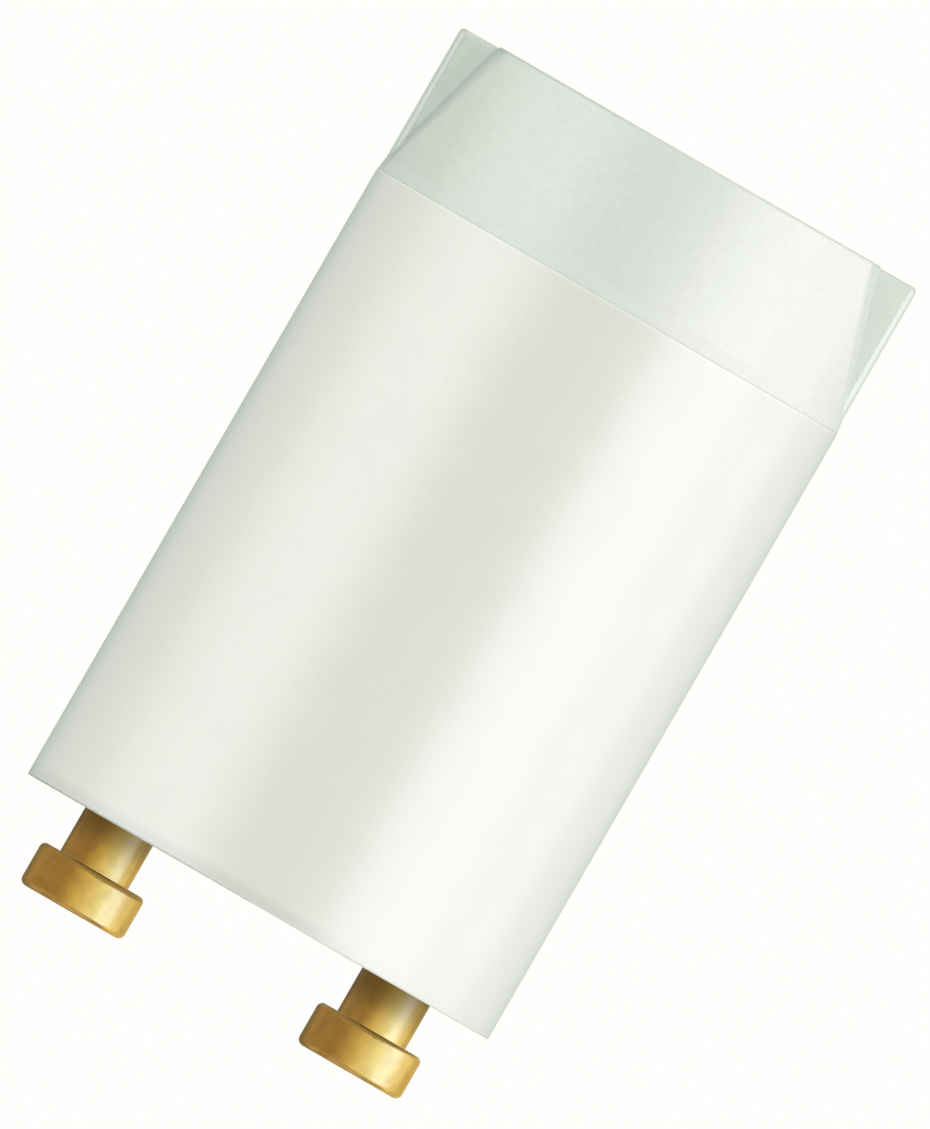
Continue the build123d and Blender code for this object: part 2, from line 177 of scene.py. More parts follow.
class Sockets:
    """Short ways to add and join nodes in one tree."""

    def __init__(self, tree):
        self.tree = tree

    def node(self, kind, settings=None, **inputs):
        """A node with its settings, and its inputs by socket name, as values or as other sockets."""
        made = self.tree.nodes.new(kind)
        for key, value in (settings or {}).items():
            setattr(made, key, value)
        for key, value in inputs.items():
            self.feed(made, key.replace("_", " "), value)
        return made

    def feed(self, node, name, value):
        """Sets or links one input of a node."""
        socket = node.inputs[int(name)] if name.isdigit() else node.inputs[name]
        if isinstance(value, bpy.types.NodeSocket):
            self.tree.links.new(value, socket)
        elif socket.type == "RGBA":
            socket.default_value = (*tuple(value)[:3], 1.0)
        else:
            socket.default_value = value

    def maths(self, operation, first, second=0.0, third=0.0, clamp=False):
        """The result of a Math node."""
        made = self.tree.nodes.new("ShaderNodeMath")
        made.operation = operation
        made.use_clamp = clamp
        for index, value in enumerate((first, second, third)):
            self.feed(made, str(index), value)
        return made.outputs[0]

    def vector(self, operation, first, second=(0.0, 0.0, 0.0), scale=1.0):
        """The vector result of a Vector Math node."""
        made = self.tree.nodes.new("ShaderNodeVectorMath")
        made.operation = operation
        self.feed(made, "0", first)
        if operation == "SCALE":
            self.feed(made, "Scale", scale)
        else:
            self.feed(made, "1", second)
        return made.outputs[0]

    def ramp(self, value, low, high, smooth=True):
        """0 below low and 1 above high."""
        settings = {"interpolation_type": "SMOOTHSTEP" if smooth else "LINEAR"}
        made = self.node("ShaderNodeMapRange", settings, Value=value)
        self.feed(made, "From Min", low)
        self.feed(made, "From Max", high)
        return made.outputs["Result"]

    def mix(self, share, first, second):
        """A mix of two colours."""
        made = self.tree.nodes.new("ShaderNodeMix")
        made.data_type = "RGBA"
        made.clamp_factor = True
        for name, value in (("Factor", share), ("A", first), ("B", second)):
            kind = "VALUE" if name == "Factor" else "RGBA"
            socket = next(s for s in made.inputs if s.name == name and s.type == kind)
            if isinstance(value, bpy.types.NodeSocket):
                self.tree.links.new(value, socket)
            elif kind == "RGBA":
                socket.default_value = (*tuple(value)[:3], 1.0)
            else:
                socket.default_value = value
        return next(s for s in made.outputs if s.type == "RGBA")

    def noise(self, vector, scale, detail=2.0, roughness=0.5):
        """Noise from 0 to 1."""
        made = self.node("ShaderNodeTexNoise", Vector=vector, Scale=scale, Detail=detail, Roughness=roughness)
        return made.outputs["Fac"]


def effect_group(name, inputs, outputs, build):
    """A node group made once: inputs are (name, kind, default), outputs are (name, kind)."""
    if name in bpy.data.node_groups:
        return bpy.data.node_groups[name]
    group = bpy.data.node_groups.new(name, "ShaderNodeTree")
    for label, kind, default in inputs:
        socket = group.interface.new_socket(label, in_out="INPUT", socket_type=kind)
        socket.default_value = default
    for label, kind in outputs:
        group.interface.new_socket(label, in_out="OUTPUT", socket_type=kind)
    s = Sockets(group)
    source = group.nodes.new("NodeGroupInput")
    results = build(s, source.outputs)
    end = group.nodes.new("NodeGroupOutput")
    for label, _ in outputs:
        group.links.new(results[label], end.inputs[label])
    return group


def mould_grain():
    """The texture that a sparked mould leaves: fine grain over slow mottling."""

    def build(s, given):
        warped = s.vector("SCALE", given["Vector"], scale=1 / MM)
        fine = s.noise(warped, s.maths("DIVIDE", MM, given["Grain"]), 3.0, 0.6)
        slow = s.noise(warped, given["Mottle Scale"], 3.0, 0.55)
        height = s.maths("ADD", fine, s.maths("MULTIPLY", slow, given["Mottle Share"]))
        return {"Height": height, "Mottle": slow}

    inputs = (
        ("Vector", "NodeSocketVector", (0, 0, 0)),
        ("Grain", "NodeSocketFloat", 0.1 * MM),
        ("Mottle Scale", "NodeSocketFloat", 0.8),
        ("Mottle Share", "NodeSocketFloat", 0.5),
    )
    outputs = (("Height", "NodeSocketFloat"), ("Mottle", "NodeSocketFloat"))
    return effect_group("Mould Grain", inputs, outputs, build)


def edge_rub():
    """Edges, broken up by noise, that the finishes paint lighter: partly rubbed wear and partly a painted
    highlight where they catch light.
    """

    def build(s, given):
        bevelled = s.node("ShaderNodeBevel", {"samples": 6}, Radius=given["Width"]).outputs[0]
        plain = s.node("ShaderNodeNewGeometry").outputs["Normal"]
        dot = s.node("ShaderNodeVectorMath", {"operation": "DOT_PRODUCT"})
        s.feed(dot, "0", bevelled)
        s.feed(dot, "1", plain)
        bend = s.maths("SUBTRACT", 1.0, dot.outputs["Value"])
        scaled = s.vector("SCALE", given["Vector"], scale=1 / MM)
        broken = s.maths("MULTIPLY_ADD", s.noise(scaled, 1.6, 3.0), 0.8, 0.6)
        return {"Mask": s.maths("MULTIPLY", s.ramp(bend, 0.01, 0.16), broken, clamp=True)}

    inputs = (("Vector", "NodeSocketVector", (0, 0, 0)), ("Width", "NodeSocketFloat", 0.2 * MM))
    return effect_group("Edge Wear And Highlight", inputs, (("Mask", "NodeSocketFloat"),), build)


def handling_marks():
    """Faint hairlines and smudges from handling."""

    def build(s, given):
        scaled = s.vector("SCALE", given["Vector"], scale=1 / MM)
        stretched = s.vector("MULTIPLY", scaled, (0.35, 0.35, 5.5))
        lines = s.ramp(s.noise(stretched, 1.7, 4.0, 0.7), 0.58, 0.72)
        smudge = s.noise(scaled, 0.45, 3.0, 0.6)
        return {"Hairlines": s.maths("MULTIPLY", lines, smudge), "Smudge": smudge}

    inputs = (("Vector", "NodeSocketVector", (0, 0, 0)),)
    outputs = (("Hairlines", "NodeSocketFloat"), ("Smudge", "NodeSocketFloat"))
    return effect_group("Handling Marks", inputs, outputs, build)


def turned_rings():
    """Fine marks round an axis parallel to Z: rings on a flat end, lines round a side."""

    def build(s, given):
        parts = s.node("ShaderNodeSeparateXYZ", Vector=given["Vector"])
        across = s.maths("SUBTRACT", s.maths("ABSOLUTE", parts.outputs["X"]), given["Axis X"])
        squares = s.maths("ADD", s.maths("POWER", across, 2.0), s.maths("POWER", parts.outputs["Y"], 2.0))
        along = s.maths("ADD", s.maths("SQRT", squares), parts.outputs["Z"])
        steps = s.maths("DIVIDE", along, given["Pitch"])
        made = s.node("ShaderNodeTexNoise", {"noise_dimensions": "1D"}, W=steps, Scale=1.0, Detail=3.0)
        return {"Height": made.outputs["Fac"]}

    inputs = (
        ("Vector", "NodeSocketVector", (0, 0, 0)),
        ("Axis X", "NodeSocketFloat", 0.0),
        ("Pitch", "NodeSocketFloat", 0.06 * MM),
    )
    return effect_group("Turned Rings", inputs, (("Height", "NodeSocketFloat"),), build)


class Finish:
    """A new material with its shader, its Object coordinates and the shared effects."""

    def __init__(self, name):
        self.material = bpy.data.materials.new(name)
        self.material.use_nodes = True
        tree = self.material.node_tree
        tree.nodes.clear()
        self.s = Sockets(tree)
        self.shader = tree.nodes.new("ShaderNodeBsdfPrincipled")
        output = tree.nodes.new("ShaderNodeOutputMaterial")
        tree.links.new(self.shader.outputs[0], output.inputs["Surface"])
        self.place = tree.nodes.new("ShaderNodeTexCoord").outputs["Object"]

    def set(self, **values):
        """Sets or links inputs of the shader."""
        for name, value in values.items():
            self.s.feed(self.shader, name.replace("_", " "), value)

    def effect(self, group, **inputs):
        """Places a shared effect with this material's own values."""
        made = self.s.node("ShaderNodeGroup", {"node_tree": group}, Vector=self.place)
        for name, value in inputs.items():
            self.s.feed(made, name.replace("_", " "), value)
        return made.outputs

    def bump(self, height, depth, strength=1.0):
        """Raises the surface by a height from 0 to 1 times a depth in metres."""
        made = self.s.node("ShaderNodeBump", Height=height, Distance=depth, Strength=strength)
        self.set(Normal=made.outputs["Normal"])

    def drift(self, colour, other, scale, amount=1.0):
        """A colour that drifts slowly towards another over the surface."""
        scaled = self.s.vector("SCALE", self.place, scale=1 / MM)
        share = self.s.maths("MULTIPLY", self.s.ramp(self.s.noise(scaled, scale, 3.0), 0.35, 0.7), amount)
        return self.s.mix(share, colour, other)


def shaded(colour, factor):
    """A colour made lighter or darker by a factor."""
    return tuple(min(1.0, part * factor) for part in colour)


class CanZones:
    """Masks that find the zones of the can from the place on it."""

    def __init__(self, finish):
        self.s = s = finish.s
        place = s.node("ShaderNodeSeparateXYZ", Vector=finish.place).outputs
        self.across = place["X"]
        self.reach = s.maths("ABSOLUTE", place["X"])
        self.height = place["Z"]
        self.on_body = s.ramp(self.height, GRIP_TOP - SEAM_BLUR, GRIP_TOP + SEAM_BLUR)
        self.aged = s.ramp(self.across, SHADED_SIDE_START, SHADED_SIDE_END)
        thickness = s.maths("ABSOLUTE", place["Y"])
        self.on_lobe = s.ramp(thickness, WING_SIDE + 0.05 * MM, WING_SIDE + 0.2 * MM)
        outward = s.ramp(self.reach, WING_START, WING_START + WING_FADE)
        self.on_wing = s.maths("MULTIPLY", self.without(self.on_lobe), outward)

    def without(self, mask):
        """Everywhere but on a mask."""
        return self.s.maths("SUBTRACT", 1.0, mask)

    def wing_rim(self):
        """The rounded rims of the wings."""
        inner, inner_full, outer_full, outer = WING_RIM
        started = self.s.ramp(self.reach, inner, inner_full)
        ended = self.s.ramp(self.reach, outer_full, outer)
        return self.s.maths("MULTIPLY", self.s.maths("SUBTRACT", started, ended), self.on_wing)

    def crease(self):
        """The crease between lobe and wing on the shaded side, short of the grip's end face, for painted
        shade.
        """
        s = self.s
        middle = s.maths("MULTIPLY_ADD", self.height, CREASE_SLOPE, CREASE_FOOT)
        distance = s.maths("ABSOLUTE", s.maths("SUBTRACT", self.across, middle))
        near = self.without(s.ramp(distance, 0.02 * MM, 0.2 * MM))
        return s.maths("MULTIPLY", near, s.ramp(self.height, 0.02 * MM, 0.1 * MM))

    def lobe_side(self):
        """The shaded side's end of the lobes, for painted shade."""
        return self.s.maths("MULTIPLY", self.s.ramp(self.across, 7.0 * MM, 8.8 * MM), self.on_lobe)

    def flare(self):
        """The flare below the parting line."""
        foot = GRIP_TOP - FLARE_HEIGHT
        return self.s.ramp(self.height, foot - 0.01 * MM, foot + 0.01 * MM)

    def below_seam(self):
        """A thin line on the grip's side of the parting line."""
        return self.s.ramp(self.height, GRIP_TOP - 0.08 * MM, GRIP_TOP - 0.03 * MM)

    def rim(self):
        """A thin line beside the rim."""
        return self.s.ramp(self.height, RIM - 0.7 * MM, RIM - 0.2 * MM)

    def above_seam(self):
        """A thin line on the body's side of the parting line."""
        return self.without(self.s.ramp(self.height, GRIP_TOP + 0.08 * MM, GRIP_TOP + 0.13 * MM))


def layered(s, colour, layers):
    """A colour under layers, each a mask, how much it covers there, and its colour."""
    for mask, cover, other in layers:
        colour = s.mix(s.maths("MULTIPLY", mask, cover), colour, other)
    return colour


def grip_colours(zones, look, mottle):
    """The grip end: plain on one side and darker on the other as painted shade, with greyer wings and painted
    shade in its creases.
    """
    s = zones.s
    # Painted shade: the grip fades to the darker colour across one side
    side_shaded_grip = s.mix(zones.aged, look.grip_colour, look.aged_colour)
    side_shaded_grip = s.mix(zones.on_wing, side_shaded_grip, look.wing_colour)
    # Painted shade on the wings' rounded rims, heavier on the shaded side, tones down the light they catch
    wing_rim_shade = s.maths("MULTIPLY_ADD", zones.aged, WING_RIM_SHADE_EXTRA, WING_RIM_SHADE)
    layers = (
        (zones.wing_rim(), wing_rim_shade, look.dust_colour),
        (s.ramp(mottle, 0.3, 0.7), MOTTLE_COVER, BLACK),
        # Painted shade in the crease between lobe and wing
        (zones.crease(), CREASE_SHADE, look.dust_colour),
        # Painted shade at the lobes' end on the shaded side
        (zones.lobe_side(), LOBE_SIDE_SHADE, look.dust_colour),
        # Painted light: the flare is lightened to hide the shade that its tilt takes
        (zones.flare(), FLARE_PAINTED_LIGHT, WHITE),
        # Painted shadow: a thin dark line just below the parting line
        (zones.below_seam(), SEAM_SHADOW, look.dust_colour),
    )
    return layered(s, side_shaded_grip, layers)


def can_plastic(look):
    """White polycarbonate: a satin body, and a duller grip end that is painted darker on one side as shade.
    """
    finish = Finish("Can Plastic")
    s = finish.s
    zones = CanZones(finish)
    on_body = zones.on_body
    grain = finish.effect(mould_grain(), Grain=look.grain_size, Mottle_Scale=0.9, Mottle_Share=0.2)
    body = finish.drift(look.body_colour, shaded(look.body_colour, 0.985), 0.5)
    # Painted highlight: a thin bright line on the body's side of the parting line
    body = s.mix(zones.above_seam(), body, shaded(look.body_colour, 1.09))
    # Painted shade in a band beside the rim, heavier towards the shaded side
    rim_band_shade = s.maths("MULTIPLY_ADD", s.ramp(zones.across, -6.0 * MM, 0.0), RIM_SHADE_EXTRA, RIM_SHADE)
    body = layered(s, body, ((zones.rim(), rim_band_shade, look.dust_colour),))
    colour = s.mix(on_body, grip_colours(zones, look, grain["Mottle"]), body)
    pitting = s.maths("MULTIPLY_ADD", zones.aged, PITTING, PITTING)
    pitting = s.maths("MULTIPLY_ADD", s.maths("MULTIPLY", on_body, pitting), -FEWER_BODY_PITS, pitting)
    pits = zones.without(s.ramp(grain["Height"], 0.45, 0.8))
    # Edges of the body painted lighter: partly rubbed wear, partly a painted highlight
    wear_and_highlight = s.maths("MULTIPLY", finish.effect(edge_rub(), Width=0.25 * MM)["Mask"], on_body)
    layers = (
        (wear_and_highlight, EDGE_WEAR_HIGHLIGHT_COVER, shaded(look.body_colour, 1.08)),
        (pits, pitting, BLACK),
    )
    colour = layered(s, colour, layers)
    marks = finish.effect(handling_marks())
    rough = s.maths("MULTIPLY_ADD", on_body, look.body_roughness - look.grip_roughness, look.grip_roughness)
    rough = s.maths("ADD", rough, s.maths("MULTIPLY", marks["Hairlines"], 0.05))
    gloss = s.maths("MULTIPLY_ADD", on_body, 1.0 - look.grip_gloss, look.grip_gloss)
    finish.set(Base_Color=colour, Roughness=rough, IOR=1.5, Coat_Weight=gloss, Coat_Roughness=0.3)
    depth = s.maths("MULTIPLY_ADD", on_body, -SHALLOWER_BODY_GRAIN, 1.0)
    finish.bump(s.maths("MULTIPLY", grain["Height"], depth), GRAIN_DEPTH)
    return finish.material


def pin_brass(look):
    """Tumbled brass with faint turning marks, edges painted lighter as wear and as a painted highlight, and
    painted shade on the necks beside the can.
    """
    finish = Finish("Pin Brass")
    s = finish.s
    rings = finish.effect(turned_rings(), Axis_X=PIN_X, Pitch=look.turning_pitch)["Height"]
    marks = finish.effect(handling_marks())
    wear_and_highlight = finish.effect(edge_rub(), Width=0.18 * MM)["Mask"]
    place = s.node("ShaderNodeSeparateXYZ", Vector=finish.place).outputs
    # Painted shade darkens the necks towards the can, and sits lower on the +X pin so that both pins look
    # equally lit
    less_shaded_pin = s.ramp(place["X"], -PIN_X, PIN_X)
    height = s.maths("MULTIPLY_ADD", less_shaded_pin, LESS_SHADED_PIN_DROP, place["Z"])
    root = s.maths("SUBTRACT", 1.0, s.ramp(height, RIM + ROOT_SHADE_FULL, RIM + ROOT_SHADE_END))
    colour = finish.drift(look.colour, shaded(look.colour, 0.82), 2.2, 0.7)
    colour = s.mix(root, colour, look.root_colour)
    # Edges painted lighter: partly rubbed wear, partly a painted highlight
    colour = s.mix(s.maths("MULTIPLY", wear_and_highlight, 0.3), colour, shaded(look.colour, 1.2))
    rough = s.maths("MULTIPLY_ADD", marks["Smudge"], 0.1, look.roughness - 0.04)
    finish.set(Base_Color=colour, Metallic=1.0, Roughness=rough)
    finish.bump(s.maths("ADD", rings, marks["Hairlines"]), 0.003 * MM, 0.5)
    return finish.material


def plate_plastic(look):
    """Pressed insulating plate, matt and faintly speckled."""
    finish = Finish("Plate Plastic")
    s = finish.s
    grain = finish.effect(mould_grain(), Grain=0.18 * MM, Mottle_Scale=1.4, Mottle_Share=0.6)
    wear_and_highlight = finish.effect(edge_rub(), Width=0.15 * MM)["Mask"]
    speck = s.ramp(grain["Height"], 0.95, 1.15)
    colour = s.mix(s.maths("MULTIPLY", speck, 0.25), look.plate_colour, shaded(look.plate_colour, 0.8))
    # Edges painted lighter: partly rubbed wear, partly a painted highlight
    colour = s.mix(s.maths("MULTIPLY", wear_and_highlight, 0.3), colour, shaded(look.plate_colour, 1.15))
    finish.set(Base_Color=colour, Roughness=s.maths("MULTIPLY_ADD", grain["Mottle"], 0.15, 0.45))
    finish.bump(grain["Height"], 0.008 * MM, 0.6)
    return finish.material


def bulb_glass(look):
    """Clear soft glass with a little waviness."""
    finish = Finish("Bulb Glass")
    s = finish.s
    scaled = s.vector("SCALE", finish.place, scale=1 / MM)
    finish.set(Base_Color=look.glass_colour, Roughness=0.02, IOR=1.5, Transmission_Weight=1.0)
    finish.bump(s.noise(scaled, 0.5, 2.0), 0.02 * MM, 0.4)
    return finish.material


def drawn_metal(name, colour, roughness):
    """Drawn or rolled metal: fine lines along its length and a few dull patches."""
    finish = Finish(name)
    s = finish.s
    scaled = s.vector("SCALE", finish.place, scale=1 / MM)
    lines = s.noise(s.vector("MULTIPLY", scaled, (9.0, 9.0, 0.6)), 1.5, 3.0)
    marks = finish.effect(handling_marks())
    wear_and_highlight = finish.effect(edge_rub(), Width=0.06 * MM)["Mask"]
    base = finish.drift(colour, shaded(colour, 0.8), 0.9)
    # Edges painted lighter: partly rubbed wear, partly a painted highlight
    base = s.mix(s.maths("MULTIPLY", wear_and_highlight, 0.4), base, shaded(colour, 1.2))
    finish.set(Base_Color=base, Metallic=1.0)
    finish.set(Roughness=s.maths("MULTIPLY_ADD", marks["Smudge"], 0.15, roughness - 0.07))
    finish.bump(lines, 0.004 * MM, 0.5)
    return finish.material


def solder_metal(look):
    """Bright solder that froze with a faint frost."""
    finish = Finish("Solder")
    s = finish.s
    scaled = s.vector("SCALE", finish.place, scale=1 / MM)
    crystals = s.node("ShaderNodeTexVoronoi", Vector=scaled, Scale=3.5).outputs["Distance"]
    colour = s.mix(s.ramp(crystals, 0.1, 0.6), look.solder_colour, shaded(look.solder_colour, 0.85))
    finish.set(Base_Color=colour, Metallic=1.0, Roughness=s.maths("MULTIPLY_ADD", crystals, 0.2, 0.18))
    finish.bump(crystals, 0.02 * MM, 0.4)
    return finish.material


def capacitor_film(look):
    """The glossy wrap of the film roll, with the faint steps of its turns."""
    finish = Finish("Capacitor Film")
    s = finish.s
    scaled = s.vector("SCALE", finish.place, scale=1 / MM)
    bands = s.noise(s.vector("MULTIPLY", scaled, (4.0, 0.5, 0.5)), 1.2, 2.0)
    wear_and_highlight = finish.effect(edge_rub(), Width=0.2 * MM)["Mask"]
    colour = s.mix(s.ramp(bands, 0.4, 0.65), look.film_colour, shaded(look.film_colour, 0.82))
    # Edges painted lighter: partly rubbed wear, partly a painted highlight
    colour = s.mix(s.maths("MULTIPLY", wear_and_highlight, 0.3), colour, shaded(look.film_colour, 1.25))
    finish.set(Base_Color=colour, Roughness=s.maths("MULTIPLY_ADD", bands, 0.12, 0.2), Coat_Weight=0.5)
    finish.bump(bands, 0.01 * MM, 0.5)
    return finish.material


def sprayed_metal(look):
    """Zinc sprayed on the ends of the roll, rough and grey."""
    finish = Finish("Sprayed Metal")
    s = finish.s
    grain = finish.effect(mould_grain(), Grain=0.22 * MM, Mottle_Scale=1.8, Mottle_Share=0.5)
    colour = s.mix(s.ramp(grain["Mottle"], 0.35, 0.7), look.spray_colour, shaded(look.spray_colour, 1.25))
    finish.set(Base_Color=colour, Metallic=0.85, Roughness=s.maths("MULTIPLY_ADD", grain["Mottle"], 0.2, 0.5))
    finish.bump(grain["Height"], 0.05 * MM, 0.8)
    return finish.material


def dress(names, material):
    """Gives CAD nodes their finish."""
    for name in names:
        node = NODES[name]
        node.data.materials.clear()
        node.data.materials.append(material)


def both(name):
    """The names of a left and right pair."""
    return [f"{name}_{side}" for side in SIDES]


class STARTER_OT_can(bpy.types.Operator):
    """Finish the moulded can"""

    bl_idname = "starter.can"
    bl_label = "Can"

    def execute(self, context):
        dress(["housing"], can_plastic(context.scene.starter_can))
        return {"FINISHED"}


class STARTER_OT_contact_pins(bpy.types.Operator):
    """Finish the two brass contact pins, which other pieces' gloss doesn't show"""

    bl_idname = "starter.contact_pins"
    bl_label = "Contact Pins"

    def execute(self, context):
        dress(both("contact_pin"), pin_brass(context.scene.starter_pins))
        for name in both("contact_pin"):
            NODES[name].visible_glossy = False
        return {"FINISHED"}


class STARTER_OT_base_plate(bpy.types.Operator):
    """Finish the insulating base plate"""

    bl_idname = "starter.base_plate"
    bl_label = "Base Plate"

    def execute(self, context):
        dress(["base_plate"], plate_plastic(context.scene.starter_inside))
        return {"FINISHED"}


class STARTER_OT_glow_bulb(bpy.types.Operator):
    """Finish the glow bulb with its electrodes"""

    bl_idname = "starter.glow_bulb"
    bl_label = "Glow Bulb"

    def execute(self, context):
        look = context.scene.starter_inside
        dress(["bulb_envelope"], bulb_glass(look))
        dress(["bimetal_strip"], drawn_metal("Bimetal", look.bimetal_colour, 0.35))
        dress(["fixed_electrode"], drawn_metal("Nickel", look.nickel_colour, 0.3))
        return {"FINISHED"}


class STARTER_OT_capacitor(bpy.types.Operator):
    """Finish the capacitor"""

    bl_idname = "starter.capacitor"
    bl_label = "Capacitor"

    def execute(self, context):
        look = context.scene.starter_inside
        dress(["capacitor_roll"], capacitor_film(look))
        dress(both("capacitor_end"), sprayed_metal(look))
        return {"FINISHED"}


class STARTER_OT_leads(bpy.types.Operator):
    """Finish the lead wires and their solder"""

    bl_idname = "starter.leads"
    bl_label = "Leads and Solder"

    def execute(self, context):
        look = context.scene.starter_inside
        wire = drawn_metal("Lead Wire", look.wire_colour, 0.28)
        dress(both("bulb_lead") + both("capacitor_lead"), wire)
        dress(both("solder_joint"), solder_metal(look))
        return {"FINISHED"}


# The studio. Angles go round the starter from the camera, towards the right of the picture, and heights
# are those of a lamp's lower and upper edge.
LAMP_DISTANCE = 0.3
WIDEST_LAMP = 45
# Lamps for all but the pins: name, start, end, radiance
CAN_LAMPS = (
    ("key_near", 30, 50, 1.82),
    ("key", 50, 75, 2.0),
    ("key_far", 75, 112, 0.75),
    ("fill_near", -52, -38, 1.26),
    ("fill", -80, -52, 1.09),
    ("fill_far", -100, -80, 0.34),
)
CAN_LAMP_HEIGHTS = (-0.06, 0.1)
# A lamp behind the starter for all but the pins, which gloss doesn't show
BACK_LAMP = ("back", 162, 198, 1.8)
# Lamps that show only in gloss, for all but the pins, each with its own colour
SHEEN_LAMPS = (
    ("sheen_right", 24.5, 115, 0.9, WHITE),
    ("sheen_right_rear", 115, 150, 0.68, WHITE),
    ("sheen_right_edge", 150, 180, 0.6, (0.88, 1.0, 0.83)),
    ("sheen_left", -95, -26, 1.12, WHITE),
    ("sheen_left_rear", -150, -95, 0.49, WHITE),
    ("sheen_left_edge", -180, -150, 0.41, (0.71, 1.0, 0.83)),
)
# Lamps for the pins alone, each with its own colour
PIN_LAMPS = (
    ("pin_left_rear", -180, -133, 0.241, (0.97, 1.0, 0.66)),
    ("pin_left_far", -133, -112, 0.55, (1.0, 0.86, 0.6)),
    ("pin_left", -112, -60, 0.444, (1.0, 0.87, 0.66)),
    ("pin_left_near", -60, -30, 0.444, (1.0, 0.76, 0.46)),
    ("pin_front_left", -30, -10, 0.685, (1.0, 0.96, 0.67)),
    ("pin_front", -10, 8, 1.06, (0.98, 1.0, 0.6)),
    ("pin_front_right", 8, 30, 1.5, (0.8, 0.94, 1.0)),
    ("pin_right_near", 30, 50, 2.18, (0.62, 0.85, 1.0)),
    ("pin_key", 50, 85, 5.5, (0.325, 0.474, 1.0)),
    ("pin_right", 85, 120, 1.5, (0.86, 1.0, 0.88)),
    ("pin_right_rear", 120, 180, 0.82, (1.0, 0.93, 0.43)),
)
SHEEN_LAMP_HEIGHTS = (-0.15, 0.22)
PIN_LAMP_HEIGHTS = (-0.28, 0.35)
FLOOR_RADIUS = 1.5
FLOOR_FADE_START = 0.08
FLOOR_FADE_END = 0.4
CAMERA_DISTANCE = 0.5
# What gloss shows of the world, by how steeply it looks up or down: black to the first pair of steepnesses,
# then a grey dome, and the backdrop's colour after the second pair
DARK_BELT = (0.5, 0.6)
BRIGHT_TOP = (0.85, 1.0)
DOME_COLOUR = (0.35, 0.34, 0.31)


def studio_direction(degrees):
    """The level direction at an angle from the camera. The rolled picture's right is -X."""
    angle = math.radians(degrees)
    return Vector((-math.sin(angle), -math.cos(angle), 0))


def softbox(name, start, end, heights, radiance, colour, receivers):
    """A row of area lamps that spans two angles round the starter and lights what its light link says."""
    pieces = math.ceil((end - start) / WIDEST_LAMP)
    step = (end - start) / pieces
    low, high = heights
    row = []
    for index in range(pieces):
        data = bpy.data.lights.new(name, "AREA")
        data.shape = "RECTANGLE"
        data.size = 2 * LAMP_DISTANCE * math.tan(math.radians(step / 2))
        data.size_y = high - low
        data.color = tuple(colour)
        data.energy = radiance * math.pi * data.size * data.size_y
        lamp = bpy.data.objects.new(name, data)
        outward = studio_direction(start + (index + 0.5) * step)
        lamp.location = outward * LAMP_DISTANCE + Vector((0, 0, (low + high) / 2))
        lamp.rotation_euler = outward.to_track_quat("Z", "Y").to_euler()
        lamp.visible_camera = False
        lamp.light_linking.receiver_collection = receivers
        bpy.context.scene.collection.objects.link(lamp)
        row.append(lamp)
    return row


def pin_link(name, link_state):
    """A light link that lights the contact pins alone or skips them."""
    made = bpy.data.collections.new(name)
    for pin in both("contact_pin"):
        made.objects.link(NODES[pin])
    for member in made.collection_objects:
        member.light_linking.link_state = link_state
    return made


def lamps(look):
    """The can's lamps, the lamps that only gloss shows, and the pins' own lamps."""
    skipped = pin_link("pins_skipped", "EXCLUDE")
    lit = pin_link("pins_lit", "INCLUDE")
    for name, start, end, radiance in CAN_LAMPS:
        softbox(name, start, end, CAN_LAMP_HEIGHTS, radiance, look.lamp_colour, skipped)
    name, start, end, radiance = BACK_LAMP
    for lamp in softbox(name, start, end, CAN_LAMP_HEIGHTS, radiance, look.lamp_colour, skipped):
        lamp.visible_glossy = False
    for name, start, end, radiance, colour in SHEEN_LAMPS:
        for lamp in softbox(name, start, end, SHEEN_LAMP_HEIGHTS, radiance, colour, skipped):
            lamp.visible_diffuse = False
    for name, start, end, radiance, colour in PIN_LAMPS:
        for lamp in softbox(name, start, end, PIN_LAMP_HEIGHTS, radiance, colour, lit):
            lamp.light_linking.blocker_collection = skipped


def floor_material(look):
    """Pale matt floor that fades into the backdrop, and is clear when it is seen from below."""
    finish = Finish("Floor")
    s = finish.s
    tree = s.tree
    finish.set(Base_Color=tuple(look.floor_colour), Roughness=0.9, Specular_IOR_Level=0.1)
    distance = s.node("ShaderNodeVectorMath", {"operation": "LENGTH"})
    s.feed(distance, "0", finish.place)
    fade = s.ramp(distance.outputs["Value"], FLOOR_FADE_START, FLOOR_FADE_END)
    glow = s.node("ShaderNodeEmission", Color=tuple(look.backdrop_colour), Strength=1.0)
    shown = tree.nodes.new("ShaderNodeMixShader")
    tree.links.new(fade, shown.inputs[0])
    tree.links.new(finish.shader.outputs[0], shown.inputs[1])
    tree.links.new(glow.outputs[0], shown.inputs[2])
    clear = s.node("ShaderNodeBsdfTransparent")
    sided = tree.nodes.new("ShaderNodeMixShader")
    tree.links.new(s.node("ShaderNodeNewGeometry").outputs["Backfacing"], sided.inputs[0])
    tree.links.new(shown.outputs[0], sided.inputs[1])
    tree.links.new(clear.outputs[0], sided.inputs[2])
    output = next(node for node in tree.nodes if node.type == "OUTPUT_MATERIAL")
    tree.links.new(sided.outputs[0], output.inputs["Surface"])
    return finish.material


def floor(look):
    """A wide floor that keeps the starter's shadow but hides no light from it."""
    bm = bmesh.new()
    bmesh.ops.create_circle(bm, cap_ends=True, segments=96, radius=FLOOR_RADIUS)
    mesh = bpy.data.meshes.new("floor")
    bm.to_mesh(mesh)
    bm.free()
    made = bpy.data.objects.new("floor", mesh)
    made.data.materials.append(floor_material(look))
    for kind in ("diffuse", "glossy", "transmission", "shadow"):
        setattr(made, f"visible_{kind}", False)
    bpy.context.scene.collection.objects.link(made)


